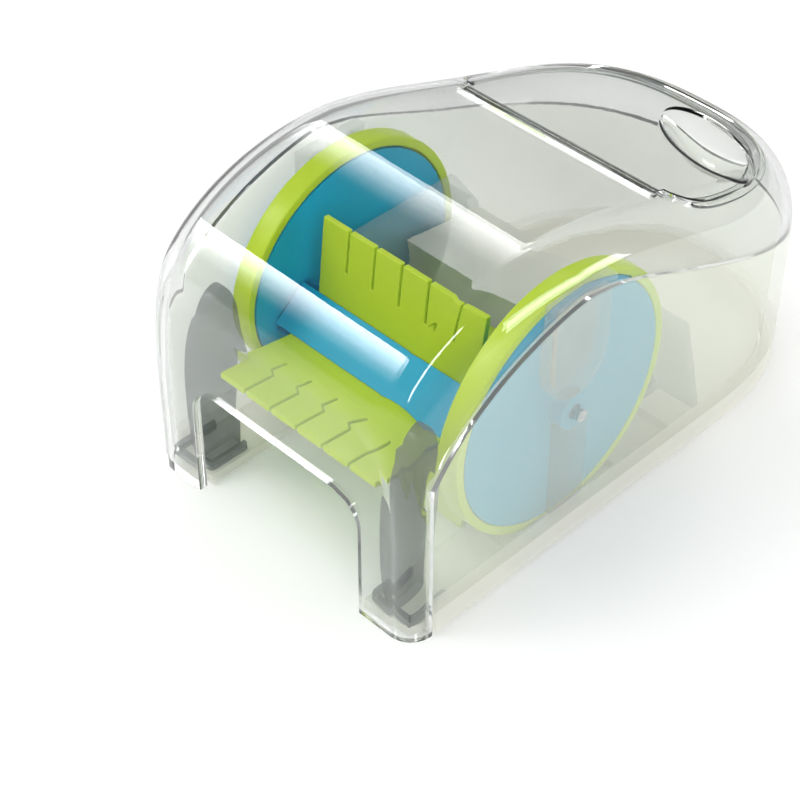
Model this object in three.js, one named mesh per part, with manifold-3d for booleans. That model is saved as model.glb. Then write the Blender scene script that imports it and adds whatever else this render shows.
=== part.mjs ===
// A hand-pushed bead sweeper. Two wheels turn a paddle drum through ring gears, the paddles throw small
// craft beads up a ramp, and the beads collect in a hopper under a hinged lid.
// Millimetres. +X is the right side seen from behind, -Y is the front, +Z is up, and Z = 0 is the table.

import * as THREE from "three";
import { mergeVertices } from "three/addons/utils/BufferGeometryUtils.js";
import Module from "manifold-3d";

const wasm = await Module();
wasm.setup();

// Clearances.
const seatGap = 0.3; // between pieces that stay put against each other
const runGap = 0.15; // round a shaft that turns
const sideGap = 0.3; // beside a piece that turns
const pressGap = 0.1; // round a piece that is pushed in and stays

// Wheels.
const wheelRadius = 26;
const wheelWidth = 4.3;
const wheelSideRoom = 3; // from the wheel's outer face to the housing's wall
const rimSegments = 64;
const discThickness = 1.2;
const discEdgeWall = 1.7; // rim left outside the disc's edge
const hubRadius = 3.6;
const innerHubRadius = 2.2;

// Ring gear in each rim and its pinion on the drum axle. Tooth heights are shares of the module.
const ringTeeth = 34;
const pinionTeeth = 14;
const wheelPerModule = 20; // the wheel's radius over the gears' module
const pressureAngle = 20;
const ringTipDrop = 0.77; // how far the ring's teeth reach inside the pitch circle
const ringRootRise = 1.19;
const pinionTipRise = 0.885;
const pinionRootDrop = 1.154;
const gearBacklash = 0.12; // taken off each flank, along the pitch circle
const flankSteps = 3;
const gearCoverThickness = 1;
const gearLineAngle = 192; // from the wheel's centre towards the drum's, from +Y towards +Z

// Drum.
const drumAxleRadius = 1.5;
const coreCornerRadius = 8; // centre to corner of the square core
const paddleGroundGap = 0.5; // from the lowest paddle's tip to the table
const paddleThickness = 1.2;
const paddleEndGap = 1.5; // from its end to the mouth's side
const paddleRootDepth = 2.4; // how far it sits in the core
const paddleSlots = 5;
const slotWidth = 0.5;
const slotDepth = 8.5;
const firstPaddleAngle = 84; // from +Y towards +Z
const paddleCount = 4;

// Stub axles, which don't turn.
const stubRadius = 1.2;
const stubSocketDepth = 1.4;

// Housing.
const housingHalfWidth = 33.2;
const drumFrontRoom = 4.1; // from the paddles' foremost reach to the front wall
const housingRear = 74.5; // behind the wheels' centre
const groundGap = 0.4;
const shellWall = 2.4;
const noseRadius = 5;
const leastNoseRadius = 0.4;
const frontStations = 12;
const domeRoom = 10.5; // from the top of the wheels to the top of the dome
const domeCentreY = -10;
const domeSpringHeight = 42; // where the front turns from upright into the dome
const rearTopHeight = 43;
const topBendStart = 24.5; // along Y from the dome's centre to the bend's first handle
const topBendHandleY = 29.5;
const topBendHandleZ = 48.8;
const rearRoundStart = 36; // where the rounded rear begins
const rearRoundPower = 2.64;
const shoulderInset = 9.2;
const shoulderDropFront = 9; // from the top down to the upright side, at the highest shoulder
const shoulderDropRear = 15.5;
const shoulderCentreY = 7;
const shoulderFoot = 20.5;
const shoulderReach = 47.5;
const shoulderSteps = 6;
const middleStations = 10;
const rearStations = 10;
const lastRearTurn = Math.PI / 2 - 0.03; // stops short of the middle, which the other half joins

// Front opening and legs.
const mouthSideRoom = 2.7; // from the mouth's side to the wheel's inner face
const mouthHeight = 26;
const mouthCorner = 6;
const mouthCutDepth = 16;
const legWall = 2;
const legFlangeDepth = 16;
const legFlangeRise = 4; // above the mouth
const partingSetback = 5.4; // how far behind the front the frosted lower shell starts

// Base tray, ramp and wheel guards. Rooms along Y are measured from the wheel's rear edge.
const trayThickness = 2;
const hopperFloorRise = 2; // above the tray
const hopperFloorRoom = 2;
const traySlotMargin = 4; // longer than the wheel's radius
const trayRim = 2; // inset of the space under the hopper floor
const rampWall = 1.6;
const rampClearance = 1.2; // from the paddle tips
const rampLipHeight = 0.8;
const rampCrestRise = 3; // above the wheels' centre
const rampCrestLean = 6; // degrees of the crest's underside
const chuteEndRise = 0.6;
const guardWall = 1.5;
const guardRise = 10; // above the wheels' centre
const guardEndRoom = -2;
const partitionTopRoom = 4;
const partitionFootRoom = 10;
const partitionRise = 2;
const guardCoreRoom = 2; // from the drum core to the guard's front edge
const bossRadius = 3.2;

// Axle posts and keepers inside the side walls.
const postHalfWidth = 3.4;
const postWheelGap = 0.4;
const keeperHalfWidth = 7.3;
const keeperDrop = 10.5; // from the top of the dome
const keeperRim = 1.4;
const keeperPocketDepth = 1.1;

// Hopper lid.
const lidGap = 0.5; // all round its edge
const lidSideInset = 5.8; // from the housing's outline
const lidRearInset = 8.4;
const lidThickness = 1.2;
const lidHingeRoom = 1; // from the wheel's rear edge to the hinge
const lidBarrelRadius = 1.3;
const lidBarrelEndRoom = 1.6; // from its end to the shoulder
const lidEarRoom = 2.4; // from the hinge to where the lid widens
const lidEarLength = 8.6;
const lidEarSteps = 6;
const lidPinRadius = 0.6;
const lidPinLength = 4;
const lidPinGrip = 2.4; // the part of the pin inside the lid's barrel
const lidLedge = 1.6;
const lidLift = 1.2; // room round the scoop as the lid swings up
const scoopFromSide = 20; // from the housing's side to its middle
const scoopFromRear = 21.1;
const scoopHalfLength = 13.4;
const scoopHalfWidth = 6.4;
const scoopDepth = 5.4;
const scoopTurn = -26;
const scoopWall = 1.2;

// Places and sizes that follow from those above.
const beyond = 5; // how far a cutting tool runs past what it cuts
const wallInnerX = housingHalfWidth - shellWall;
const wheelOuterX = wallInnerX - wheelSideRoom;
const wheelInnerX = wheelOuterX - wheelWidth;
const hubEndX = wallInnerX - seatGap;
const postOuterX = wallInnerX - seatGap;
const postInnerX = wheelOuterX + postWheelGap;
const mouthHalfWidth = wheelInnerX - mouthSideRoom;
const bossLength = mouthSideRoom - pressGap;
const ringGearWidth = wheelWidth - discThickness - pressGap - gearCoverThickness - sideGap;
const pinionWidth = ringGearWidth - sideGap;
const gearModule = wheelRadius / wheelPerModule;
const gearLine = THREE.MathUtils.degToRad(gearLineAngle);
const gearDistance = ((ringTeeth - pinionTeeth) * gearModule) / 2;
const drumY = gearDistance * Math.cos(gearLine);
const drumZ = wheelRadius + gearDistance * Math.sin(gearLine);
const paddleReach = drumZ - paddleGroundGap; // centre to tip
const paddleLength = 2 * (mouthHalfWidth - paddleEndGap);
const housingFront = paddleReach - drumY + drumFrontRoom + shellWall;
const domeHeight = 2 * wheelRadius + domeRoom;
const partingFront = housingFront - partingSetback;
const trayBottom = groundGap;
const trayTop = trayBottom + trayThickness;
const hopperFloorTop = trayTop + hopperFloorRise;
const hopperFloorFront = wheelRadius + hopperFloorRoom;
const rampCrestHeight = wheelRadius + rampCrestRise;
const chuteEndHeight = wheelRadius + chuteEndRise;
const guardTop = wheelRadius + guardRise;
const guardTopEndY = wheelRadius + guardEndRoom;
const partitionTopY = wheelRadius + partitionTopRoom;
const partitionFootY = wheelRadius + partitionFootRoom;
const partitionTop = wheelRadius + partitionRise;
const keeperTop = domeHeight - keeperDrop;
const lidHingeY = wheelRadius + lidHingeRoom;
const lidBarrelHalf = housingHalfWidth - shoulderInset - lidBarrelEndRoom;
const lidEarStart = lidHingeY + lidEarRoom;
const lidEarEnd = lidEarStart + lidEarLength;
const scoopX = housingHalfWidth - scoopFromSide;
const scoopY = housingRear - scoopFromRear;
const aboveAll = domeHeight + beyond;

// A closed geometry as a solid that can be joined and cut.
function solid(geometry) {
  const bare = geometry.index ? geometry.toNonIndexed() : geometry.clone();
  bare.deleteAttribute("normal");
  bare.deleteAttribute("uv");
  const merged = mergeVertices(bare, 1e-4);
  return new wasm.Manifold(
    new wasm.Mesh({
      numProp: 3,
      vertProperties: new Float32Array(merged.attributes.position.array),
      triVerts: new Uint32Array(merged.index.array),
    }),
  );
}

// A solid back as a geometry for a mesh.
function geometryOf(body) {
  const mesh = body.getMesh();
  const geometry = new THREE.BufferGeometry();
  geometry.setAttribute("position", new THREE.BufferAttribute(mesh.vertProperties, 3));
  geometry.setIndex(new THREE.BufferAttribute(mesh.triVerts, 1));
  geometry.computeVertexNormals();
  return geometry;
}

function box(x0, x1, y0, y1, z0, z1) {
  const geometry = new THREE.BoxGeometry(x1 - x0, y1 - y0, z1 - z0);
  geometry.translate((x0 + x1) / 2, (y0 + y1) / 2, (z0 + z1) / 2);
  return solid(geometry);
}

// A (y, z) outline drawn out along X.
function sideSlab(points, x0, x1) {
  const shape = new THREE.Shape(points.map(([y, z]) => new THREE.Vector2(y, z)));
  const geometry = new THREE.ExtrudeGeometry(shape, { depth: x1 - x0, bevelEnabled: false });
  const toSide = new THREE.Matrix4().makeBasis(
    new THREE.Vector3(0, 1, 0),
    new THREE.Vector3(0, 0, 1),
    new THREE.Vector3(1, 0, 0),
  );
  geometry.applyMatrix4(toSide);
  geometry.translate(x0, 0, 0);
  return solid(geometry);
}

// An (x, y) outline drawn out upwards.
function planSlab(points, z0, z1) {
  const shape = new THREE.Shape(points.map(([x, y]) => new THREE.Vector2(x, y)));
  const geometry = new THREE.ExtrudeGeometry(shape, { depth: z1 - z0, bevelEnabled: false });
  geometry.translate(0, 0, z0);
  return solid(geometry);
}

// An (x, radius) profile turned about an axis along X through (y, z).
function turned(profile, y, z, segments) {
  const points = profile.map(([x, radius]) => new THREE.Vector2(radius, x));
  const geometry = new THREE.LatheGeometry(points, segments);
  geometry.rotateZ(-Math.PI / 2);
  geometry.translate(0, y, z);
  return solid(geometry);
}

function rod(x0, x1, radius, y, z, segments = 24) {
  return turned([[x0, 0], [x0, radius], [x1, radius], [x1, 0]], y, z, segments);
}

// A faceted bore's corner radius that leaves the gap at the middle of its flats.
function boreRadius(shaftRadius, gap, segments = 24) {
  return (shaftRadius + gap) / Math.cos(Math.PI / segments);
}

function arc(y, z, radius, fromDegrees, toDegrees, steps) {
  const points = [];
  for (let i = 0; i <= steps; i++) {
    const angle = THREE.MathUtils.degToRad(fromDegrees + ((toDegrees - fromDegrees) * i) / steps);
    points.push([y + radius * Math.cos(angle), z + radius * Math.sin(angle)]);
  }
  return points;
}

// Height of the housing's top at a distance y behind the wheels, for a skin lying inset below it.
function topHeight(y, inset) {
  if (y <= domeCentreY) {
    const along = (y - domeCentreY) / (housingFront + domeCentreY - inset);
    const rise = Math.sqrt(Math.max(1 - along * along, 0));
    return domeSpringHeight + (domeHeight - domeSpringHeight - inset) * rise;
  }
  const bend = new THREE.CubicBezierCurve(
    new THREE.Vector2(domeCentreY, domeHeight),
    new THREE.Vector2(domeCentreY + topBendStart, domeHeight),
    new THREE.Vector2(topBendHandleY, topBendHandleZ),
    new THREE.Vector2(housingRear, rearTopHeight),
  );
  let low = 0;
  let high = 1;
  for (let i = 0; i < 30; i++) {
    const middle = (low + high) / 2;
    if (bend.getPoint(middle).x < y) low = middle;
    else high = middle;
  }
  return bend.getPoint(low).y - inset;
}

// Height where the rounded shoulder meets the upright side.
function shoulderHeight(y) {
  const along = Math.min((y - shoulderCentreY) / shoulderReach, 0);
  const rise = domeHeight - shoulderDropFront - shoulderFoot;
  const front = shoulderFoot + rise * Math.sqrt(Math.max(1 - along * along, 0));
  const behind = Math.max((y - shoulderCentreY) / (housingRear - shoulderCentreY), 0);
  const drop = shoulderDropFront + (shoulderDropRear - shoulderDropFront) * behind;
  return Math.min(front, topHeight(y, 0) - drop);
}

// Half the housing's width at a station y ahead of its rounded rear, for a skin lying inset within it.
function halfWidthAt(y, inset) {
  const corner = Math.max(noseRadius - inset, leastNoseRadius);
  const into = Math.min((y + housingFront - inset - corner) / corner, 0);
  return housingHalfWidth - inset - corner * (1 - Math.sqrt(Math.max(1 - into * into, 0)));
}

// The right half of a skin's plan outline, from front to rear. narrow draws its sides and rear further in.
function halfOutline(inset, narrow = 0) {
  const points = [];
  for (let i = 0; i < frontStations; i++) {
    const turn = ((Math.PI / 2) * i) / frontStations;
    const y = domeCentreY - (housingFront + domeCentreY - inset) * Math.cos(turn);
    points.push([halfWidthAt(y, inset) - narrow, y]);
  }
  const halfWidth = housingHalfWidth - inset - narrow;
  for (let i = 0; i < middleStations; i++) {
    points.push([halfWidth, domeCentreY + ((rearRoundStart - domeCentreY) * i) / middleStations]);
  }
  const rearDepth = housingRear - inset - narrow - rearRoundStart;
  for (let i = 0; i <= rearStations; i++) {
    const turn = (lastRearTurn * i) / rearStations;
    const x = halfWidth * Math.cos(turn) ** (2 / rearRoundPower);
    points.push([x, rearRoundStart + rearDepth * Math.sin(turn) ** (2 / rearRoundPower)]);
  }
  return points;
}

function wholeOutline(inset) {
  const right = halfOutline(inset);
  const left = right.map(([x, y]) => [-x, y]).reverse();
  return right.concat(left);
}

// The housing's full form, drawn in by inset on every side but the floor, standing on floorZ.
function housingForm(inset, floorZ) {
  const rings = [halfOutline(inset).map(([x, y]) => [x, y, floorZ])];
  for (let step = 0; step <= shoulderSteps; step++) {
    const turn = ((Math.PI / 2) * step) / shoulderSteps;
    const narrow = (shoulderInset - inset) * (1 - Math.cos(turn));
    const ring = halfOutline(inset, narrow).map(([x, y]) => {
      const low = shoulderHeight(y);
      return [x, y, low + (topHeight(y, inset) - low) * Math.sin(turn)];
    });
    rings.push(ring);
  }
  const count = rings[0].length;
  const vertices = [];
  for (const ring of rings) {
    for (const [x, y, z] of ring) vertices.push(x, y, z);
    for (const [x, y, z] of ring.slice().reverse()) vertices.push(-x, y, z);
  }
  const around = 2 * count;
  const faces = [];
  for (let ring = 0; ring + 1 < rings.length; ring++) {
    for (let i = 0; i < around; i++) {
      const a = ring * around + i;
      const b = ring * around + ((i + 1) % around);
      faces.push(a, b, b + around, a, b + around, a + around);
    }
  }
  const top = (rings.length - 1) * around;
  for (let i = 0; i + 1 < count; i++) {
    const mirrorI = around - 1 - i;
    faces.push(top + i, top + i + 1, top + mirrorI - 1, top + i, top + mirrorI - 1, top + mirrorI);
    faces.push(i + 1, i, mirrorI, i + 1, mirrorI, mirrorI - 1);
  }
  const geometry = new THREE.BufferGeometry();
  geometry.setAttribute("position", new THREE.Float32BufferAttribute(vertices, 3));
  geometry.setIndex(faces);
  return solid(geometry);
}

// Everything behind the parting line of the frosted lower shell, grown by margin.
function lowerRegion(margin) {
  const points = [[-partingFront - margin, -1]];
  const steps = 24;
  for (let i = 0; i <= steps; i++) {
    const y = -partingFront + ((housingRear + partingFront) * i) / steps;
    const shift = i === 0 ? margin : 0;
    points.push([y - shift, shoulderHeight(y) + margin]);
  }
  const behind = housingRear + beyond;
  points.push([behind, shoulderHeight(housingRear) + margin], [behind, -1]);
  return sideSlab(points, -housingHalfWidth - beyond, housingHalfWidth + beyond);
}

// Plan outline of the lid, drawn in by inset: narrow at its barrel, then as wide as the shoulders allow.
function lidOutline(inset) {
  const half = housingHalfWidth - lidSideInset - inset;
  const depth = housingRear - lidRearInset - inset - rearRoundStart;
  const barrelX = lidBarrelHalf - inset;
  const ear = new THREE.QuadraticBezierCurve(
    new THREE.Vector2(barrelX, lidEarStart + inset),
    new THREE.Vector2(half, lidEarStart + inset),
    new THREE.Vector2(half, lidEarEnd),
  );
  const right = [[barrelX, lidHingeY]];
  for (const point of ear.getPoints(lidEarSteps)) right.push([point.x, point.y]);
  for (let i = 0; i <= rearStations; i++) {
    const turn = (lastRearTurn * i) / rearStations;
    const y = rearRoundStart + depth * Math.sin(turn) ** (2 / rearRoundPower);
    if (y > lidEarEnd + 1) right.push([half * Math.cos(turn) ** (2 / rearRoundPower), y]);
  }
  const left = right.map(([x, y]) => [-x, y]).reverse();
  return right.concat(left);
}

const lidAxisZ = topHeight(lidHingeY, 0) - lidBarrelRadius;

// Upright oval room for the lid's scoop.
function scoopRoom() {
  const outline = new THREE.EllipseCurve(
    scoopX,
    scoopY,
    scoopHalfLength + scoopWall + lidLift,
    scoopHalfWidth + scoopWall + lidLift,
    0,
    2 * Math.PI,
    false,
    THREE.MathUtils.degToRad(scoopTurn),
  );
  const points = outline.getPoints(32).slice(0, -1);
  return planSlab(points.map((point) => [point.x, point.y]), domeHeight / 3, aboveAll);
}

function mouthTool() {
  const shape = new THREE.Shape();
  const side = mouthHalfWidth;
  const top = mouthHeight;
  shape.moveTo(-side, -1);
  shape.lineTo(side, -1);
  shape.lineTo(side, top - mouthCorner);
  shape.absarc(side - mouthCorner, top - mouthCorner, mouthCorner, 0, Math.PI / 2, false);
  shape.absarc(-side + mouthCorner, top - mouthCorner, mouthCorner, Math.PI / 2, Math.PI, false);
  shape.closePath();
  const settings = { depth: mouthCutDepth, bevelEnabled: false, curveSegments: 6 };
  const geometry = new THREE.ExtrudeGeometry(shape, settings);
  geometry.rotateX(Math.PI / 2);
  geometry.translate(0, mouthCutDepth - housingFront - 2, 0);
  return solid(geometry);
}

function legFlange() {
  const front = -housingFront + shellWall / 2;
  const back = -housingFront + legFlangeDepth;
  const top = mouthHeight + legFlangeRise;
  const plate = box(mouthHalfWidth, mouthHalfWidth + legWall, front, back, trayTop + seatGap, top);
  return plate.intersect(housingForm(shellWall / 2, -1));
}

function mirrored(body) {
  const geometry = geometryOf(body);
  geometry.scale(-1, 1, 1);
  const index = geometry.index.array;
  for (let i = 0; i < index.length; i += 3) {
    [index[i + 1], index[i + 2]] = [index[i + 2], index[i + 1]];
  }
  return solid(geometry);
}

function topCover() {
  let cover = housingForm(0, groundGap).subtract(housingForm(shellWall, -1));
  cover = cover.subtract(lowerRegion(seatGap)).subtract(mouthTool());
  const flange = legFlange();
  cover = cover.add(flange).add(mirrored(flange));
  const ledgeDepth = lidThickness + seatGap;
  const lidRoom = planSlab(lidOutline(-lidGap), 0, aboveAll);
  const rebate = lidRoom.subtract(housingForm(ledgeDepth, -1));
  const hole = planSlab(lidOutline(lidLedge), domeHeight / 3, aboveAll);
  const hingeRoom = lidBarrelRadius + seatGap;
  const pocket = lidBarrelHalf + seatGap;
  const bayFloor = lidAxisZ - domeHeight / 3;
  const barrelBay = box(-pocket, pocket, lidHingeY - hingeRoom, lidHingeY + hingeRoom, bayFloor, aboveAll);
  const pinEnd = lidBarrelHalf - lidPinGrip + lidPinLength + seatGap;
  const pinHole = rod(-pinEnd, pinEnd, boreRadius(lidPinRadius, pressGap, 12), lidHingeY, lidAxisZ, 12);
  cover = cover.subtract(rebate).subtract(hole).subtract(barrelBay).subtract(pinHole);
  return cover.subtract(scoopRoom().intersect(lidRoom));
}

function lowerShell() {
  const band = housingForm(0, groundGap).subtract(housingForm(shellWall, -1));
  const socketEnd = wallInnerX + stubSocketDepth;
  const socket = rod(wallInnerX - beyond / 2, socketEnd, boreRadius(stubRadius, pressGap), 0, wheelRadius);
  return band.intersect(lowerRegion(0)).subtract(socket).subtract(mirrored(socket));
}

// Frosted floor: a raised hopper floor behind, and an arm on each side round the wheel.
function baseTray() {
  const inset = shellWall + seatGap;
  const outline = wholeOutline(inset);
  let tray = planSlab(outline, trayBottom, hopperFloorTop);
  const far = housingRear + beyond;
  const wide = housingHalfWidth + beyond;
  const high = hopperFloorTop + beyond;
  const front = -housingFront + shellWall + seatGap;
  tray = tray.subtract(box(-wide, wide, -far, hopperFloorFront, trayTop, high));
  const bay = mouthHalfWidth - seatGap;
  tray = tray.subtract(box(-bay, bay, -far, partitionFootY, -1, high));
  tray = tray.subtract(box(-wide, wide, -far, front, -1, high));
  const under = planSlab(wholeOutline(inset + trayRim), -1, hopperFloorTop - trayThickness);
  tray = tray.subtract(under.subtract(box(-wide, wide, -far, partitionFootY, -2, high)));
  const slotInner = wheelInnerX - 2 * sideGap;
  const slotOuter = wheelOuterX + 2 * sideGap;
  const halfSlot = (wheelRadius + traySlotMargin) / 2;
  const slot = box(slotInner, slotOuter, -halfSlot, halfSlot, -1, high);
  return tray.subtract(slot).subtract(mirrored(slot));
}

// Ramp: curved up behind the drum, over a crest to a short chute, and down to the hopper floor.
function pickupRamp() {
  const inner = paddleReach + rampClearance;
  const outer = inner + rampWall;
  const lipAngle = THREE.MathUtils.radToDeg(Math.asin((rampLipHeight - drumZ) / inner));
  const crestAngle = THREE.MathUtils.radToDeg(Math.asin((rampCrestHeight - drumZ) / inner));
  const backLipAngle = THREE.MathUtils.radToDeg(Math.asin((groundGap - drumZ) / outer));
  const underAngle = crestAngle - rampCrestLean;
  const face = arc(drumY, drumZ, inner, lipAngle, crestAngle, 14);
  const back = arc(drumY, drumZ, outer, underAngle, backLipAngle, 14);
  const crestY = face[face.length - 1][0];
  const footTop = hopperFloorTop;
  const footY = partitionFootY - seatGap;
  const lean = (partitionFootY - partitionTopY) / (partitionTop - hopperFloorTop);
  const chuteEndY = footY - lean * (chuteEndHeight - footTop);
  const outline = [
    ...face,
    [crestY + rampWall, rampCrestHeight],
    [chuteEndY, chuteEndHeight],
    [footY, footTop],
    [footY, footTop - rampWall],
    [footY - rampWall, footTop - rampWall],
    [chuteEndY - rampWall, chuteEndHeight - rampWall],
    [crestY + 2 * rampWall, rampCrestHeight - rampWall],
    ...back,
  ];
  const half = mouthHalfWidth - 2 * seatGap;
  return sideSlab(outline, -half, half);
}

// Right wheel guard: an inner wall that holds the gear cover's boss, and a sloping rear wall.
function wheelGuard() {
  const foot = trayTop + seatGap;
  const frontY = drumY + coreCornerRadius + guardCoreRoom;
  const wallOutline = [
    [frontY, foot],
    [hopperFloorFront - seatGap, foot],
    [hopperFloorFront - seatGap, hopperFloorTop + seatGap],
    [partitionFootY, hopperFloorTop + seatGap],
    [partitionTopY, partitionTop],
    [guardTopEndY, guardTop],
    [frontY, guardTop],
  ];
  const innerX = mouthHalfWidth;
  let guard = sideSlab(wallOutline, innerX, innerX + guardWall);
  const rearOutline = [
    [partitionFootY - guardWall, hopperFloorTop + seatGap],
    [partitionFootY, hopperFloorTop + seatGap],
    [partitionTopY, partitionTop],
    [partitionTopY - guardWall, partitionTop],
  ];
  guard = guard.add(sideSlab(rearOutline, innerX, wallInnerX - seatGap));
  const bossBore = rod(0, housingHalfWidth, boreRadius(bossRadius, pressGap), 0, wheelRadius);
  const coreRoom = rod(0, housingHalfWidth, boreRadius(coreCornerRadius, sideGap, 32), drumY, drumZ, 32);
  return guard.subtract(coreRoom).subtract(bossBore);
}

// Post that carries the wheel's hub from below in a round cradle.
function axlePost() {
  const post = box(postInnerX, postOuterX, -postHalfWidth, postHalfWidth, trayTop + seatGap, wheelRadius);
  return post.subtract(rod(0, housingHalfWidth, boreRadius(hubRadius, runGap, 32), 0, wheelRadius, 32));
}

// Tongue that hangs inside the side wall and keeps the hub down, with a shallow pocket.
function axleKeeper() {
  const bottom = wheelRadius + hubRadius + seatGap;
  const tongue = (inset) => [
    [keeperHalfWidth - inset, keeperTop - inset],
    [-keeperHalfWidth + inset, keeperTop - inset],
    ...arc(0, bottom + keeperHalfWidth, keeperHalfWidth - inset, 180, 360, 16),
  ];
  const plate = sideSlab(tongue(0), postInnerX, postOuterX);
  const pocket = sideSlab(tongue(keeperRim), postOuterX - keeperPocketDepth, postOuterX + 1);
  return plate.subtract(pocket);
}

function involuteAngle(angle) {
  return Math.tan(angle) - angle;
}

// Outline of a toothed disc with a tooth on the line between the gears' centres. Its flanks follow the
// involute of its base circle, and extra widens each tooth.
function toothedOutline(teeth, rootRadius, tipRadius, extra) {
  const pitchRadius = (teeth * gearModule) / 2;
  const pressure = THREE.MathUtils.degToRad(pressureAngle);
  const baseRadius = pitchRadius * Math.cos(pressure);
  const halfAtPitch = Math.PI / (2 * teeth) + extra / pitchRadius;
  const halfAngleAt = (radius) => {
    const at = Math.acos(Math.min(baseRadius / radius, 1));
    return halfAtPitch + involuteAngle(pressure) - involuteAngle(at);
  };
  const points = [];
  for (let tooth = 0; tooth < teeth; tooth++) {
    const middle = gearLine + (2 * Math.PI * tooth) / teeth;
    const flank = [];
    for (let i = 0; i <= flankSteps; i++) {
      const radius = rootRadius + ((tipRadius - rootRadius) * i) / flankSteps;
      flank.push([radius, halfAngleAt(radius)]);
    }
    for (const [radius, half] of flank) {
      points.push([radius * Math.cos(middle - half), radius * Math.sin(middle - half)]);
    }
    for (const [radius, half] of flank.reverse()) {
      points.push([radius * Math.cos(middle + half), radius * Math.sin(middle + half)]);
    }
  }
  return points;
}

// Right rim, centred on its axle: a tread with a ring gear inside, a disc seat and room for the cover.
function wheelRim() {
  const discSeat = wheelRadius - discEdgeWall;
  const blank = rod(wheelInnerX, wheelOuterX, wheelRadius, 0, 0, rimSegments);
  const ringPitch = (ringTeeth * gearModule) / 2;
  const teeth = toothedOutline(
    ringTeeth,
    ringPitch - ringTipDrop * gearModule,
    ringPitch + ringRootRise * gearModule,
    gearBacklash,
  );
  const gearEnd = wheelOuterX - discThickness - pressGap;
  const gearStart = gearEnd - ringGearWidth;
  const toothHole = sideSlab(teeth, wheelInnerX - 1, wheelOuterX + 1);
  const seatRoom = rod(gearEnd, wheelOuterX + 1, discSeat, 0, 0, rimSegments);
  const coverRoom = rod(wheelInnerX - 1, gearStart, discSeat, 0, 0, rimSegments);
  return blank.subtract(toothHole).subtract(seatRoom).subtract(coverRoom);
}

// Right disc: a web in the rim's outer seat with its hub tube, centred on its axle.
function wheelDisc() {
  const edge = (wheelRadius - discEdgeWall) * Math.cos(Math.PI / rimSegments) - pressGap;
  const bore = boreRadius(stubRadius, runGap);
  const webInner = wheelOuterX - discThickness;
  const coverFace = wheelInnerX + gearCoverThickness;
  const profile = [
    [coverFace + sideGap, bore],
    [coverFace + sideGap, innerHubRadius],
    [webInner, innerHubRadius],
    [webInner, edge],
    [wheelOuterX, edge],
    [wheelOuterX, hubRadius],
    [hubEndX, hubRadius],
    [hubEndX, bore],
    [coverFace + sideGap, bore],
  ];
  return turned(profile, 0, 0, rimSegments);
}

// Right gear cover: a still disc in the rim's inner opening, on the stub axle, with the drum axle's bearing.
function gearCover() {
  const edge = (wheelRadius - discEdgeWall) * Math.cos(Math.PI / rimSegments) - sideGap;
  const plate = rod(wheelInnerX, wheelInnerX + gearCoverThickness, edge, 0, wheelRadius, rimSegments);
  const bossRoot = wheelInnerX + gearCoverThickness / 2;
  const boss = rod(wheelInnerX - bossLength, bossRoot, bossRadius, 0, wheelRadius);
  const stubBore = rod(0, housingHalfWidth, boreRadius(stubRadius, pressGap), 0, wheelRadius);
  const drumBore = rod(0, housingHalfWidth, boreRadius(drumAxleRadius, runGap), drumY, drumZ);
  return plate.add(boss).subtract(stubBore).subtract(drumBore);
}

function stubAxle() {
  const inner = wheelInnerX - bossLength;
  const outer = wallInnerX + stubSocketDepth - pressGap;
  return rod(inner, outer, stubRadius, 0, wheelRadius);
}

// Square drum core, centred on the drum axle, with a groove for each paddle's root.
function drumCore() {
  const half = wheelInnerX - sideGap;
  const corners = [];
  for (let i = 0; i < paddleCount; i++) {
    const angle = THREE.MathUtils.degToRad(firstPaddleAngle + (360 / paddleCount) * i);
    corners.push([coreCornerRadius * Math.cos(angle), coreCornerRadius * Math.sin(angle)]);
  }
  let core = sideSlab(corners, -half, half);
  const grooveHalf = paddleThickness / 2 + pressGap;
  const grooveLength = paddleLength / 2 + pressGap;
  for (let i = 0; i < paddleCount; i++) {
    const groove = new THREE.BoxGeometry(2 * grooveLength, 2 * paddleRootDepth, 2 * grooveHalf);
    groove.translate(0, coreCornerRadius, 0);
    groove.rotateX(THREE.MathUtils.degToRad(firstPaddleAngle + (360 / paddleCount) * i));
    core = core.subtract(solid(groove));
  }
  return core.subtract(rod(-housingHalfWidth, housingHalfWidth, boreRadius(drumAxleRadius, pressGap), 0, 0));
}

// One paddle lying along +Y from the drum's axis, cut into fingers from its tip.
function paddle() {
  const root = coreCornerRadius - paddleRootDepth + pressGap;
  const half = paddleLength / 2;
  let blade = box(-half, half, root, paddleReach, -paddleThickness / 2, paddleThickness / 2);
  for (let i = 1; i <= paddleSlots; i++) {
    const x = -half + (paddleLength * i) / (paddleSlots + 1);
    const slotStart = paddleReach - slotDepth;
    const slot = box(x - slotWidth / 2, x + slotWidth / 2, slotStart, paddleReach + 1, -2, 2);
    blade = blade.subtract(slot);
  }
  return blade;
}

function drumAxle() {
  const half = wheelOuterX - discThickness - sideGap;
  return rod(-half, half, drumAxleRadius, 0, 0);
}

// Right pinion, centred on the drum axle, with a tooth on the line to the wheel's rim.
function pinion() {
  const pitch = (pinionTeeth * gearModule) / 2;
  const teeth = toothedOutline(
    pinionTeeth,
    pitch - pinionRootDrop * gearModule,
    pitch + pinionTipRise * gearModule,
    -gearBacklash,
  );
  const outer = wheelOuterX - discThickness - sideGap;
  const blank = sideSlab(teeth, outer - pinionWidth, outer);
  return blank.subtract(rod(0, housingHalfWidth, boreRadius(drumAxleRadius, pressGap), 0, 0));
}

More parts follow.
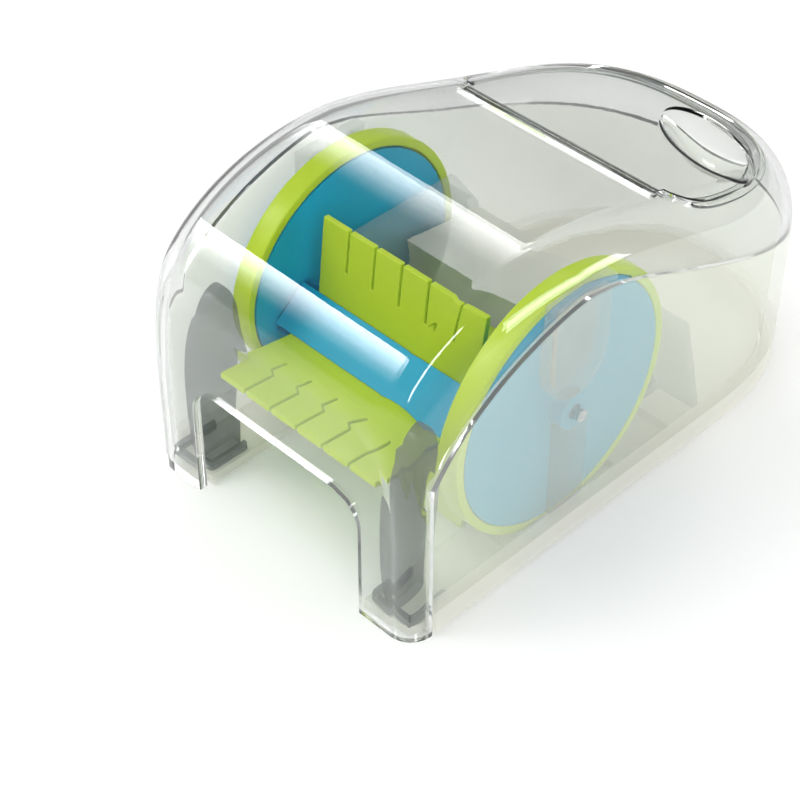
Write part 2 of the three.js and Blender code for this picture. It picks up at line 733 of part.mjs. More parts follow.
// Lid: a plate that follows the housing's top, a hinge barrel in front and a finger scoop at the right rear.
function hopperLid() {
  const outline = planSlab(lidOutline(0), domeHeight / 6, aboveAll);
  const plate = housingForm(0, 0).subtract(housingForm(lidThickness, -1)).intersect(outline);
  const barrel = rod(-lidBarrelHalf, lidBarrelHalf, lidBarrelRadius, lidHingeY, lidAxisZ, 16);
  const scoopForm = (wall) => {
    const ball = new THREE.SphereGeometry(1, 24, 14);
    ball.scale(scoopHalfLength + wall, scoopHalfWidth + wall, scoopDepth + wall);
    ball.rotateZ(THREE.MathUtils.degToRad(scoopTurn));
    ball.translate(scoopX, scoopY, topHeight(scoopY, 0));
    return solid(ball);
  };
  const bowl = scoopForm(scoopWall).intersect(housingForm(lidThickness / 2, 0)).intersect(outline);
  const pinHole = (side) => {
    const inner = side * (lidBarrelHalf - lidPinGrip - seatGap);
    const outer = side * (lidBarrelHalf + beyond);
    const radius = boreRadius(lidPinRadius, runGap, 12);
    return rod(Math.min(inner, outer), Math.max(inner, outer), radius, lidHingeY, lidAxisZ, 12);
  };
  const lid = plate.add(barrel).add(bowl).subtract(scoopForm(0));
  return lid.subtract(pinHole(1)).subtract(pinHole(-1));
}

function lidPin() {
  const inner = lidBarrelHalf - lidPinGrip;
  return rod(inner, inner + lidPinLength, lidPinRadius, lidHingeY, lidAxisZ, 12);
}

const finishes = {
  clear: { color: 0xe4e8e4, roughness: 0.05, metalness: 0, transparent: true, opacity: 0.35 },
  frosted: { color: 0xe6e8dc, roughness: 0.45, metalness: 0, transparent: true, opacity: 0.6 },
  green: { color: 0x9fc82a, roughness: 0.3, metalness: 0 },
  blue: { color: 0x109fcb, roughness: 0.3, metalness: 0 },
  white: { color: 0xe8e8e2, roughness: 0.4, metalness: 0 },
  steel: { color: 0xb8bcc0, roughness: 0.25, metalness: 1 },
};

function mesh(name, body, finish) {
  const made = new THREE.Mesh(geometryOf(body), new THREE.MeshStandardMaterial(finishes[finish]));
  made.name = name;
  return made;
}

// The right piece as it is, and its mirror image on the left.
function addPair(group, name, body, finish) {
  const right = mesh("right_" + name, body, finish);
  const left = mesh("left_" + name, body, finish);
  left.scale.x = -1;
  group.add(right, left);
}

function housing() {
  const group = new THREE.Group();
  group.add(mesh("top_cover", topCover(), "clear"));
  group.add(mesh("lower_shell", lowerShell(), "frosted"));
  group.add(mesh("base_tray", baseTray(), "frosted"));
  group.add(mesh("pickup_ramp", pickupRamp(), "frosted"));
  addPair(group, "wheel_guard", wheelGuard(), "clear");
  addPair(group, "axle_post", axlePost(), "frosted");
  addPair(group, "axle_keeper", axleKeeper(), "clear");
  addPair(group, "gear_cover", gearCover(), "blue");
  addPair(group, "stub_axle", stubAxle(), "steel");
  addPair(group, "lid_pin", lidPin(), "steel");
  return group;
}

function wheels() {
  const group = new THREE.Group();
  group.position.z = wheelRadius;
  addPair(group, "wheel_rim", wheelRim(), "green");
  addPair(group, "wheel_disc", wheelDisc(), "blue");
  return group;
}

function drum() {
  const group = new THREE.Group();
  group.position.set(0, drumY, drumZ);
  group.add(mesh("drum_core", drumCore(), "blue"));
  group.add(mesh("drum_axle", drumAxle(), "steel"));
  addPair(group, "pinion", pinion(), "white");
  for (let i = 0; i < paddleCount; i++) {
    const blade = mesh("paddle_" + (i + 1), paddle(), "green");
    blade.rotation.x = THREE.MathUtils.degToRad(firstPaddleAngle + (360 / paddleCount) * i);
    group.add(blade);
  }
  return group;
}

const sweeper = new THREE.Group();
sweeper.add(housing(), wheels(), drum(), mesh("hopper_lid", hopperLid(), "clear"));
sweeper.position.y = (housingFront - housingRear) / 2;

export default sweeper;
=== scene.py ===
import math

import bmesh
import bpy
import mathutils
import numpy as np
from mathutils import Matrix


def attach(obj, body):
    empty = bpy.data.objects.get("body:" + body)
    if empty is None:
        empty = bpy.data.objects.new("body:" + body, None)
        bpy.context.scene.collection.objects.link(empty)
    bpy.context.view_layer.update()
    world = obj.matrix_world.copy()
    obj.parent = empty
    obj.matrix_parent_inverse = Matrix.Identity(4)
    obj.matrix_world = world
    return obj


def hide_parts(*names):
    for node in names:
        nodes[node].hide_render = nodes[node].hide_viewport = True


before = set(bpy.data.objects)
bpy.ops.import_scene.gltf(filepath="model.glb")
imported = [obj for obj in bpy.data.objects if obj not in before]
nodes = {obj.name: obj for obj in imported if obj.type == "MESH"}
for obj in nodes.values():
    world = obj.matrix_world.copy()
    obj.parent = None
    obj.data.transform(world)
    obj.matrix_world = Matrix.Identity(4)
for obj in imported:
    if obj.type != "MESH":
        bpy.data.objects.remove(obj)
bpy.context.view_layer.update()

scene = bpy.context.scene
print("frame loaded:", len(nodes), "nodes")

rowShift = np.array([0.0, -16.24347, 0.0])  # from the wheels' centre to the row's origin, in mm
metres = 0.001
mergeDistance = 1e-6  # in metres: closer points become one
nearly = 0.01  # in mm: how closely a place has to match a station
tiny = 1e-6  # in mm: slack for rounding errors
halvings = 40  # steps of a search by halving
white = (1, 1, 1, 1)


# Mesh tools. Points are in mm, measured from the table under the wheels' axle.

# The quads of a grid of points stored row after row. A closed grid joins its last row or column to its first.
def gridFaces(rows, columns, closeRows=False, closeColumns=False):
    r = np.arange(rows if closeRows else rows - 1)
    c = np.arange(columns if closeColumns else columns - 1)
    r, c = np.meshgrid(r, c, indexing="ij")
    nextR, nextC = (r + 1) % rows, (c + 1) % columns
    quads = np.stack([r * columns + c, r * columns + nextC, nextR * columns + nextC, nextR * columns + c], -1)
    return quads.reshape(-1, 4)


# A mesh object from lists of point grids and faces, merged where they meet, with its faces pointing out.
def makePiece(name, patches):
    points, faces, start = [], [], 0
    for grid, quads in patches:
        flat = np.asarray(grid, float).reshape(-1, 3)
        points.append(flat)
        faces += [[int(i) + start for i in face] for face in quads]
        start += len(flat)
    co = (np.concatenate(points) + rowShift) * metres
    mesh = bpy.data.meshes.new(name)
    mesh.from_pydata(co.tolist(), [], faces)
    bm = bmesh.new()
    bm.from_mesh(mesh)
    bmesh.ops.remove_doubles(bm, verts=bm.verts, dist=mergeDistance)
    bmesh.ops.dissolve_degenerate(bm, dist=mergeDistance, edges=bm.edges)
    bmesh.ops.recalc_face_normals(bm, faces=bm.faces)
    bm.to_mesh(mesh)
    bm.free()
    mesh.polygons.foreach_set("use_smooth", np.full(len(mesh.polygons), True))
    piece = bpy.data.objects.new(name, mesh)
    scene.collection.objects.link(piece)
    return piece


# A right-hand grid and its mirror image across X, as two patches for makePiece.
def bothSides(grid):
    faces = gridFaces(*grid.shape[:2])
    return [(grid, faces), (grid * np.array([-1.0, 1.0, 1.0]), faces[:, ::-1])]


def sideName(side):
    return "right" if side > 0 else "left"


# A wall of even thickness grown inwards from an open surface.
def addWall(piece, thickness):
    wall = piece.modifiers.new("wall", "SOLIDIFY")
    wall.thickness = thickness * metres
    wall.offset = -1
    wall.use_even_offset = True
    wall.use_quality_normals = True


# Rounded edges wherever two faces meet at more than the angle, and shading that keeps the flats flat.
def addRounding(piece, radius, angle=35, segments=3):
    rounding = piece.modifiers.new("rounding", "BEVEL")
    rounding.width = radius * metres
    rounding.segments = segments
    rounding.limit_method = "ANGLE"
    rounding.angle_limit = math.radians(angle)
    rounding.harden_normals = True


def placePiece(piece, body, material, replaced=()):
    piece.data.materials.clear()
    piece.data.materials.append(material)
    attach(piece, body)
    if replaced:
        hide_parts(*replaced)


# A prism between two rings of points, closed at both ends.
def makePrism(name, rings):
    count = len(rings[0])
    faces = [list(face) for face in gridFaces(2, count, closeColumns=True)]
    faces += [list(range(count))[::-1], list(range(count, 2 * count))]
    return makePiece(name, [(np.array(rings), faces)])


# An outline of (y, z) points drawn along X from low to high.
def drawnOutline(name, outline, low, high):
    return makePrism(name, [np.column_stack([np.full(len(outline), x), outline]) for x in (low, high)])


# A closed (x, radius) profile turned about an axis along X through (y, z).
def turnedProfile(name, profile, y, z, segments, mirrored=False):
    profile = np.asarray(profile, float)
    turn = np.linspace(0, 2 * np.pi, segments, endpoint=False)[:, None]
    x = np.broadcast_to(profile[:, 0], (segments, len(profile))) * (-1 if mirrored else 1)
    grid = np.stack([x, y + profile[:, 1] * np.cos(turn), z + profile[:, 1] * np.sin(turn)], -1)
    return makePiece(name, [(grid, gridFaces(segments, len(profile), True, True))])


# Node tools.

def addNode(tree, kind, **values):
    node = tree.nodes.new(kind)
    for key, value in values.items():
        if hasattr(node, key):
            setattr(node, key, value)
        else:
            node.inputs[key].default_value = value
    return node


skinDetail = {
    "flowDetail": 3.0, "flowRoughness": 0.55, "grainDetail": 4.0, "grainRoughness": 0.6,
    "reliefHeight": 0.0002,
}


# Shared finish of a moulded plastic: a faint flow of colour, uneven gloss and a fine skin.
def makeMouldedSkin():
    group = bpy.data.node_groups.new("mouldedSkin", "ShaderNodeTree")
    face = group.interface
    for name, kind in (("Colour", "NodeSocketColor"), ("Shade Colour", "NodeSocketColor"),
                       ("Flow Scale", "NodeSocketFloat"), ("Grain Scale", "NodeSocketFloat"),
                       ("Gloss Low", "NodeSocketFloat"), ("Gloss High", "NodeSocketFloat"),
                       ("Relief", "NodeSocketFloat"), ("Stretch", "NodeSocketVector")):
        face.new_socket(name, in_out="INPUT", socket_type=kind)
    face.items_tree["Stretch"].default_value = (1, 1, 1)
    for name, kind in (("Colour", "NodeSocketColor"), ("Roughness", "NodeSocketFloat"),
                       ("Normal", "NodeSocketVector")):
        face.new_socket(name, in_out="OUTPUT", socket_type=kind)
    start = group.nodes.new("NodeGroupInput")
    end = group.nodes.new("NodeGroupOutput")
    place = addNode(group, "ShaderNodeTexCoord")
    flow = addNode(group, "ShaderNodeTexNoise", Detail=skinDetail["flowDetail"],
                   Roughness=skinDetail["flowRoughness"])
    grain = addNode(group, "ShaderNodeTexNoise", Detail=skinDetail["grainDetail"],
                    Roughness=skinDetail["grainRoughness"])
    tint = addNode(group, "ShaderNodeMix", data_type="RGBA")
    gloss = addNode(group, "ShaderNodeMapRange")
    bump = addNode(group, "ShaderNodeBump", Distance=skinDetail["reliefHeight"])
    link = group.links.new
    along = addNode(group, "ShaderNodeVectorMath", operation="MULTIPLY")
    link(place.outputs["Object"], along.inputs[0])
    link(start.outputs["Stretch"], along.inputs[1])
    link(along.outputs["Vector"], flow.inputs["Vector"])
    link(place.outputs["Object"], grain.inputs["Vector"])
    link(start.outputs["Flow Scale"], flow.inputs["Scale"])
    link(start.outputs["Grain Scale"], grain.inputs["Scale"])
    link(flow.outputs["Fac"], tint.inputs["Factor"])
    link(start.outputs["Shade Colour"], tint.inputs["A"])
    link(start.outputs["Colour"], tint.inputs["B"])
    link(grain.outputs["Fac"], gloss.inputs["Value"])
    link(start.outputs["Gloss Low"], gloss.inputs["To Min"])
    link(start.outputs["Gloss High"], gloss.inputs["To Max"])
    link(grain.outputs["Fac"], bump.inputs["Height"])
    link(start.outputs["Relief"], bump.inputs["Strength"])
    link(tint.outputs["Result"], end.inputs["Colour"])
    link(gloss.outputs["Result"], end.inputs["Roughness"])
    link(bump.outputs["Normal"], end.inputs["Normal"])
    return group


mouldedSkin = makeMouldedSkin()


# A material with one Principled BSDF fed by the moulded skin. Values are the skin's inputs.
def skinnedMaterial(name, values, principled):
    material = bpy.data.materials.new(name)
    material.use_nodes = True
    tree = material.node_tree
    surface = tree.nodes["Principled BSDF"]
    for key, value in principled.items():
        surface.inputs[key].default_value = value
    skin = addNode(tree, "ShaderNodeGroup", node_tree=mouldedSkin)
    for key, value in values.items():
        skin.inputs[key].default_value = value
    tree.links.new(skin.outputs["Colour"], surface.inputs["Base Color"])
    tree.links.new(skin.outputs["Roughness"], surface.inputs["Roughness"])
    tree.links.new(skin.outputs["Normal"], surface.inputs["Normal"])
    return material


# Puts a mix of the material's plastic and plain see-through at its output, and returns the mix node.
def mixWithClear(material, tint):
    tree = material.node_tree
    clear = addNode(tree, "ShaderNodeBsdfTransparent", Color=tint)
    mix = addNode(tree, "ShaderNodeMixShader")
    tree.links.new(tree.nodes["Principled BSDF"].outputs["BSDF"], mix.inputs[1])
    tree.links.new(clear.outputs["BSDF"], mix.inputs[2])
    tree.links.new(mix.outputs["Shader"], tree.nodes["Material Output"].inputs["Surface"])
    return mix


# Lets lamp light through a see-through material: shadow and bounced rays pass as through a thin sheet.
def letLightThrough(material, tint):
    tree = material.node_tree
    mix = mixWithClear(material, tint)
    rays = addNode(tree, "ShaderNodeLightPath")
    either = addNode(tree, "ShaderNodeMath", operation="MAXIMUM")
    tree.links.new(rays.outputs["Is Shadow Ray"], either.inputs[0])
    tree.links.new(rays.outputs["Is Diffuse Ray"], either.inputs[1])
    tree.links.new(either.outputs[0], mix.inputs["Fac"])


# A clear plastic with painted shade: its colour turns to a grey tint where it is seen edge on, standing in
# for the dark reflections at its silhouettes.
def paintedEdgeShade(material, tint, sharpness):
    tree = material.node_tree
    surface = tree.nodes["Principled BSDF"]
    plain = surface.inputs["Base Color"].links[0].from_socket
    facing = addNode(tree, "ShaderNodeLayerWeight", Blend=0.5)
    edge = addNode(tree, "ShaderNodeMath", operation="POWER")
    edge.inputs[1].default_value = sharpness
    mix = addNode(tree, "ShaderNodeMix", data_type="RGBA")
    mix.inputs["B"].default_value = tint
    tree.links.new(facing.outputs["Facing"], edge.inputs[0])
    tree.links.new(edge.outputs[0], mix.inputs["Factor"])
    tree.links.new(plain, mix.inputs["A"])
    tree.links.new(mix.outputs["Result"], surface.inputs["Base Color"])


# A milky material: a share of it is open to what is behind, the rest is pale plastic.
def milkyMaterial(name, values, principled, openShare, tint):
    material = skinnedMaterial(name, values, principled)
    mixWithClear(material, tint).inputs["Fac"].default_value = openShare
    return material


greenPlastic = skinnedMaterial(
    "greenPlastic",
    {"Colour": (0.52, 0.68, 0.025, 1), "Shade Colour": (0.43, 0.59, 0.018, 1), "Flow Scale": 45.0,
     "Grain Scale": 2600.0, "Gloss Low": 0.26, "Gloss High": 0.38, "Relief": 0.06},
    {"Specular IOR Level": 0.35},
)
bluePlastic = skinnedMaterial(
    "bluePlastic",
    {"Colour": (0.0, 0.38, 0.6, 1), "Shade Colour": (0.0, 0.31, 0.5, 1), "Flow Scale": 40.0,
     "Grain Scale": 2600.0, "Gloss Low": 0.26, "Gloss High": 0.38, "Relief": 0.06},
    {"Specular IOR Level": 0.15},
)
whitePlastic = skinnedMaterial(
    "whitePlastic",
    {"Colour": (0.82, 0.82, 0.78, 1), "Shade Colour": (0.74, 0.74, 0.7, 1), "Flow Scale": 60.0,
     "Grain Scale": 3000.0, "Gloss Low": 0.35, "Gloss High": 0.5, "Relief": 0.08},
    {},
)
axleSteel = skinnedMaterial(
    "axleSteel",
    {"Colour": (0.62, 0.63, 0.65, 1), "Shade Colour": (0.5, 0.51, 0.53, 1), "Flow Scale": 300.0,
     "Grain Scale": 4000.0, "Gloss Low": 0.18, "Gloss High": 0.34, "Relief": 0.1},
    {"Metallic": 1.0},
)
clearPlastic = skinnedMaterial(
    "clearPlastic",
    {"Colour": (0.95, 0.96, 0.95, 1), "Shade Colour": (0.93, 0.94, 0.93, 1), "Flow Scale": 25.0,
     "Grain Scale": 300.0, "Gloss Low": 0.0, "Gloss High": 0.03, "Relief": 0.02},
    {"Transmission Weight": 1.0, "IOR": 1.49},
)
# Painted shade: the clear plastic greys towards its silhouettes.
paintedEdgeShade(clearPlastic, (0.3, 0.32, 0.32, 1), 2.6)
letLightThrough(clearPlastic, (0.95, 0.96, 0.955, 1))
milkyPlastic = milkyMaterial(
    "milkyPlastic",
    {"Colour": (0.9, 0.93, 0.84, 1), "Shade Colour": (0.85, 0.88, 0.8, 1), "Flow Scale": 30.0,
     "Grain Scale": 1500.0, "Gloss Low": 0.3, "Gloss High": 0.42, "Relief": 0.05},
    {}, 0.75, (0.985, 0.988, 0.975, 1),
)
creamPlastic = milkyMaterial(
    "creamPlastic",
    {"Colour": (0.93, 0.92, 0.86, 1), "Shade Colour": (0.89, 0.89, 0.82, 1), "Flow Scale": 30.0,
     "Grain Scale": 1500.0, "Gloss Low": 0.35, "Gloss High": 0.45, "Relief": 0.05},
    {}, 0.55, (0.98, 0.98, 0.96, 1),
)
innerClear = milkyMaterial(
    "innerClear",
    {"Colour": (0.8, 0.82, 0.8, 1), "Shade Colour": (0.74, 0.76, 0.74, 1), "Flow Scale": 30.0,
     "Grain Scale": 600.0, "Gloss Low": 0.1, "Gloss High": 0.2, "Relief": 0.03},
    {}, 0.84, (0.96, 0.97, 0.965, 1),
)
# Painted shade: a near-black plastic with vertical dark streaks, for the dark pieces in the legs that stand
# in for the dark reflections there.
legShadePlastic = milkyMaterial(
    "legShadePlastic",
    {"Colour": (0.26, 0.28, 0.29, 1), "Shade Colour": (0.01, 0.014, 0.016, 1), "Flow Scale": 500.0,
     "Grain Scale": 600.0, "Gloss Low": 0.12, "Gloss High": 0.22, "Relief": 0.03, "Stretch": (1, 1, 0.06)},
    {}, 0.58, (0.85, 0.87, 0.88, 1),
)
postPlastic = milkyMaterial(
    "postPlastic",
    {"Colour": (0.33, 0.4, 0.4, 1), "Shade Colour": (0.28, 0.34, 0.34, 1), "Flow Scale": 30.0,
     "Grain Scale": 600.0, "Gloss Low": 0.2, "Gloss High": 0.3, "Relief": 0.03},
    {}, 0.87, (0.95, 0.96, 0.96, 1),
)
print("materials made")


# Housing surface.

housing = {
    "halfWidth": 33.2, "front": 42.0131, "rear": 74.5, "ground": 0.4, "wall": 2.4, "coverWall": 1.8,
    "noseRadius": 5.0,
    "domeHeight": 62.5, "domeCentreY": -10.0, "springHeight": 42.0, "rearTopHeight": 43.0,
    "bendStart": 24.5, "bendHandleY": 29.5, "bendHandleZ": 48.8, "rearRoundStart": 36.0,
    "rearRoundPower": 2.64, "shoulderInset": 9.2, "dropFront": 9.0, "dropRear": 15.5,
    "shoulderCentreY": 7.0, "shoulderFoot": 20.5, "shoulderReach": 47.5,
    "partingY": -36.6131, "partingGap": 0.3, "mouthHalf": 20.8, "mouthHeight": 26.0, "mouthCorner": 6.0,
    "coverEndY": 25.4, "rounding": 0.35, "railTop": 5.4, "shellRounding": 0.25,
    "curveSteps": 600, "frontStations": 54, "frontCrowding": 1.5, "middleStations": 56, "rearStations": 60,
    "stationGap": 0.2, "mouthRows": 7, "shoulderRows": 24, "flatRows": 4, "legRows": 24, "crownColumns": 6,
    "middleColumns": 21, "railRows": 5, "shellRows": 28,
}
lid = {
    "gap": 0.5, "sideInset": 5.8, "rearInset": 8.4, "thickness": 1.2, "hingeY": 27.0, "barrelRadius": 1.3,
    "barrelHalf": 22.4, "barrelGap": 0.3, "earStart": 29.4, "earEnd": 38.0, "ledge": 1.6, "ledgeDrop": 1.5,
    "ledgeThickness": 0.9, "scoopX": 13.2, "scoopY": 53.4, "scoopHalfLength": 13.4, "scoopHalfWidth": 6.4,
    "scoopDepth": 5.4, "scoopTurn": -26.0, "scoopSpread": 1.06, "scoopSteepness": 1.4, "rounding": 0.3,
    "sharpAngle": 50, "pinBore": 0.8, "barrelSides": 48, "smallRounding": 0.2, "farthestIn": 25.0,
    "earStations": 14, "ledgeRows": 4, "hingeRows": 8, "earRows": 20, "rearRows": 130, "columns": 190,
    "rearTip": 0.02, "searchFrom": -5.0, "searchTo": 33.0, "leastDepth": 0.1,
}


# Height of the top: a quarter ellipse ahead of the dome's centre, a cubic curve behind it.
def topHeight(y):
    h = housing
    y = np.asarray(y, float)
    along = np.clip((y - h["domeCentreY"]) / (h["front"] + h["domeCentreY"]), -1, 0)
    ahead = h["springHeight"] + (h["domeHeight"] - h["springHeight"]) * np.sqrt(1 - along ** 2)
    t = np.linspace(0, 1, h["curveSteps"])
    handles = np.array([[h["domeCentreY"], h["domeHeight"]],
                        [h["domeCentreY"] + h["bendStart"], h["domeHeight"]],
                        [h["bendHandleY"], h["bendHandleZ"]],
                        [h["rear"], h["rearTopHeight"]]])
    weights = np.stack([(1 - t) ** 3, 3 * t * (1 - t) ** 2, 3 * t ** 2 * (1 - t), t ** 3], 1)
    curve = weights @ handles
    return np.where(y <= h["domeCentreY"], ahead, np.interp(y, curve[:, 0], curve[:, 1]))


# Height where the shoulder starts: an ellipse in front, and a drop below the top that grows to the rear.
def shoulderHeight(y):
    h = housing
    y = np.asarray(y, float)
    along = np.clip((y - h["shoulderCentreY"]) / h["shoulderReach"], -1, 0)
    rise = h["domeHeight"] - h["dropFront"] - h["shoulderFoot"]
    front = h["shoulderFoot"] + rise * np.sqrt(1 - along ** 2)
    behind = np.clip((y - h["shoulderCentreY"]) / (h["rear"] - h["shoulderCentreY"]), 0, 1)
    return np.minimum(front, topHeight(y) - h["dropFront"] - (h["dropRear"] - h["dropFront"]) * behind)


# Height of the skin where it has been drawn in by narrow at a place y: the shoulder's ellipse, then the top.
def skinHeight(y, narrow):
    level = np.clip(1 - narrow / housing["shoulderInset"], 0, 1)
    low = shoulderHeight(y)
    return low + (topHeight(y) - low) * np.sqrt(1 - level ** 2)


# Half the lid's width at a place y, with its outline grown by grow: barrel, ears, then a rounded rear.
def lidHalfWidth(y, grow):
    h = housing
    half = h["halfWidth"] - lid["sideInset"] + grow
    depth = h["rear"] - lid["rearInset"] + grow - h["rearRoundStart"]
    start = lid["earStart"] - grow
    barrel = lid["barrelHalf"] + grow
    t = np.sqrt(np.clip((y - start) / (lid["earEnd"] - start), 0, 1))
    ear = barrel + (half - barrel) * (2 * t - t ** 2)
    into = np.clip((y - h["rearRoundStart"]) / depth, 0, 1)
    return np.minimum(ear, half * (1 - into ** h["rearRoundPower"]) ** (1 / h["rearRoundPower"]))


# Stations along the sides, as y: crowded at the front, even in the middle, crowded again at the lid's ears.
def sideStations():
    h = housing
    turn = np.pi / 2 * np.linspace(0, 1, h["frontStations"]) ** h["frontCrowding"]
    ahead = h["domeCentreY"] - (h["front"] + h["domeCentreY"]) * np.cos(turn)
    middle = np.linspace(h["domeCentreY"], h["rearRoundStart"], h["middleStations"])
    earStart = lid["earStart"] - lid["gap"]
    ear = earStart + (h["rearRoundStart"] - earStart) * np.linspace(0, 1, lid["earStations"]) ** 2
    fixed = np.concatenate([[h["partingY"] - h["partingGap"], h["partingY"], h["coverEndY"]], ear])
    free = np.concatenate([ahead, middle])
    free = free[np.abs(free[:, None] - fixed).min(1) > h["stationGap"]]
    return np.unique(np.round(np.concatenate([free, fixed]), 6))  # 6 decimals, so that equal stations merge


sideY = sideStations()
rearTurn = np.linspace(0, np.pi / 2, housing["rearStations"])[1:]
fullReach = housing["halfWidth"] - lid["barrelHalf"] - lid["barrelGap"]


# The right half of the outline drawn in by narrow, which may differ by row and station: nose corner and
# side by station, rear as a superellipse.
def halfOutline(narrow):
    h = housing
    count = len(sideY)
    narrow = np.atleast_2d(np.asarray(narrow, float))
    narrow = np.broadcast_to(narrow, (len(narrow), count + len(rearTurn)))
    into = np.clip((sideY + h["front"] - h["noseRadius"]) / h["noseRadius"], -1, 0)
    sideX = h["halfWidth"] - h["noseRadius"] * (1 - np.sqrt(1 - into ** 2)) - narrow[:, :count]
    rest = narrow[:, count:]
    power = 2 / h["rearRoundPower"]
    rearX = (h["halfWidth"] - rest) * np.abs(np.cos(rearTurn)) ** power
    rearX[:, -1] = 0
    rearY = h["rearRoundStart"] + (h["rear"] - rest - h["rearRoundStart"]) * np.sin(rearTurn) ** power
    x = np.concatenate([sideX, rearX], 1)
    y = np.concatenate([np.broadcast_to(sideY, sideX.shape), rearY], 1)
    return x, y


# How far in from the outline the cover reaches at each station, found by halving: to the lid's opening.
def coverReach():
    low = np.zeros(len(sideY) + len(rearTurn))
    high = np.full_like(low, lid["farthestIn"])
    for step in range(halvings):
        middle = (low + high) / 2
        x, y = halfOutline(middle)
        inside = x[0] >= lidHalfWidth(y[0], lid["gap"])
        low = np.where(inside, middle, low)
        high = np.where(inside, high, middle)
    low[:len(sideY)][sideY < lid["earStart"] - lid["gap"] + tiny] = fullReach
    return low


reach = coverReach()


# The rows of the cover's band as shares of its reach: one at the top of the mouth, one where the shoulder
# ends, and a few more on the flat top.
def bandShares():
    h = housing
    rise = (h["mouthHeight"] - h["shoulderFoot"]) / (h["springHeight"] - h["shoulderFoot"])
    turn = math.asin(rise)
    turns = np.concatenate([np.linspace(0, turn, h["mouthRows"]),
                            np.linspace(turn, np.pi / 2, h["shoulderRows"])[1:]])
    shoulder = h["shoulderInset"] / fullReach * (1 - np.cos(turns))
    return np.concatenate([shoulder, np.linspace(shoulder[-1], 1, h["flatRows"] + 1)[1:]])


# The cover's band as rows by stations, from the parting line up and in to the lid's opening.
def bandGrid():
    narrow = bandShares()[:, None] * reach
    x, y = halfOutline(narrow)
    z = skinHeight(y, narrow)
    behind = y[0] > housing["partingY"] - nearly
    z[0, behind] += housing["partingGap"]
    return np.stack([x, y, z], -1)


# The clear cover: shoulder band, dome top, front face round the mouth, and legs ahead of the parting line.
def coverPatches():
    h = housing
    band = bandGrid()
    legEnd = int(np.searchsorted(sideY, h["partingY"] - h["partingGap"] - nearly)) + 1
    share = np.linspace(0, 1, h["legRows"])[:-1]
    foot = band[0, :legEnd]
    legZ = h["ground"] + (foot[:, 2] - h["ground"]) * share[:, None]
    leg = np.stack(np.broadcast_arrays(foot[:, 0], foot[:, 1], legZ), -1)
    leg = np.concatenate([leg, foot[None]])
    shoulderEnd = len(band) - h["flatRows"]
    edge = np.concatenate([leg[:-1, 0], band[:shoulderEnd, 0]])  # the front face's outer edge, ground to top
    inner = np.full(len(edge), h["mouthHalf"] - h["mouthCorner"])
    z = edge[:, 2]
    straight = h["mouthHeight"] - h["mouthCorner"]
    rise = np.clip(z - straight, 0, h["mouthCorner"])
    bend = np.sqrt(np.clip(h["mouthCorner"] ** 2 - rise ** 2, 0, None))
    under = z <= h["mouthHeight"] + tiny
    inner[under] += bend[under]
    flat = band[shoulderEnd - 1:, 0, 0][::-1]
    crown = np.linspace(inner[-1], flat[0], h["crownColumns"])
    across = (np.concatenate([crown[:-1], flat]) - inner[-1]) / (flat[-1] - inner[-1])
    sideFace = np.stack(np.broadcast_arrays(inner[:, None] + (edge[:, 0] - inner)[:, None] * across,
                                            edge[:, 1:2], z[:, None]), -1)
    middleX = np.linspace(-1, 1, h["middleColumns"]) * inner[-1]
    middle = np.stack(np.broadcast_arrays(middleX, -h["front"], z[z >= h["mouthHeight"] - tiny, None]), -1)
    columnsX = np.concatenate([-crown[::-1], middleX[1:-1], crown]) / crown[-1]
    last = int(np.searchsorted(sideY, h["coverEndY"] - nearly)) + 1
    ridge = band[-1, :last]
    top = np.stack(np.broadcast_arrays(ridge[:, :1] * columnsX, ridge[:, 1:2], ridge[:, 2:]), -1)
    patches = [(middle, gridFaces(*middle.shape[:2])), (top, gridFaces(*top.shape[:2]))]
    for grid in (band, leg, sideFace):
        patches += bothSides(grid)
    return patches


def buildCover():
    cover = makePiece("clear_dome_cover", coverPatches())
    addWall(cover, housing["coverWall"])
    addRounding(cover, housing["rounding"])
    placePiece(cover, "housing", clearPlastic, ["top_cover"])


# The cover's ledge under the edge of the lid, from the lid's ears round the rear.
def buildLidLedge():
    start = int(np.searchsorted(sideY, lid["earStart"] + lid["ledge"]))
    width = lid["ledge"] + lid["gap"]
    narrow = reach + np.linspace(0, width, lid["ledgeRows"])[:, None]
    x, y = halfOutline(narrow)
    grid = np.stack([x, y, skinHeight(y, narrow) - lid["ledgeDrop"]], -1)[:, start:]
    ledge = makePiece("clear_lid_ledge", bothSides(grid))
    addWall(ledge, lid["ledgeThickness"])
    addRounding(ledge, lid["smallRounding"])
    placePiece(ledge, "housing", clearPlastic)


legShadePlate = {
    "inner": 23.2, "outer": 25.8, "rounding": 0.7, "sharpAngle": 50, "roundingSegments": 5,
    "stepsPerPoint": 6,
    "outline": [(-29.6, 2.35), (-29.3, 8.0), (-28.7, 14.0), (-28.1, 19.0), (-27.8, 24.0), (-27.8, 30.0),
                (-28.1, 34.5), (-29.3, 37.8), (-31.2, 39.4), (-34.2, 37.6), (-37.0, 32.5), (-38.2, 27.0),
                (-38.6, 20.0), (-38.4, 10.0), (-37.4, 2.35)],
}
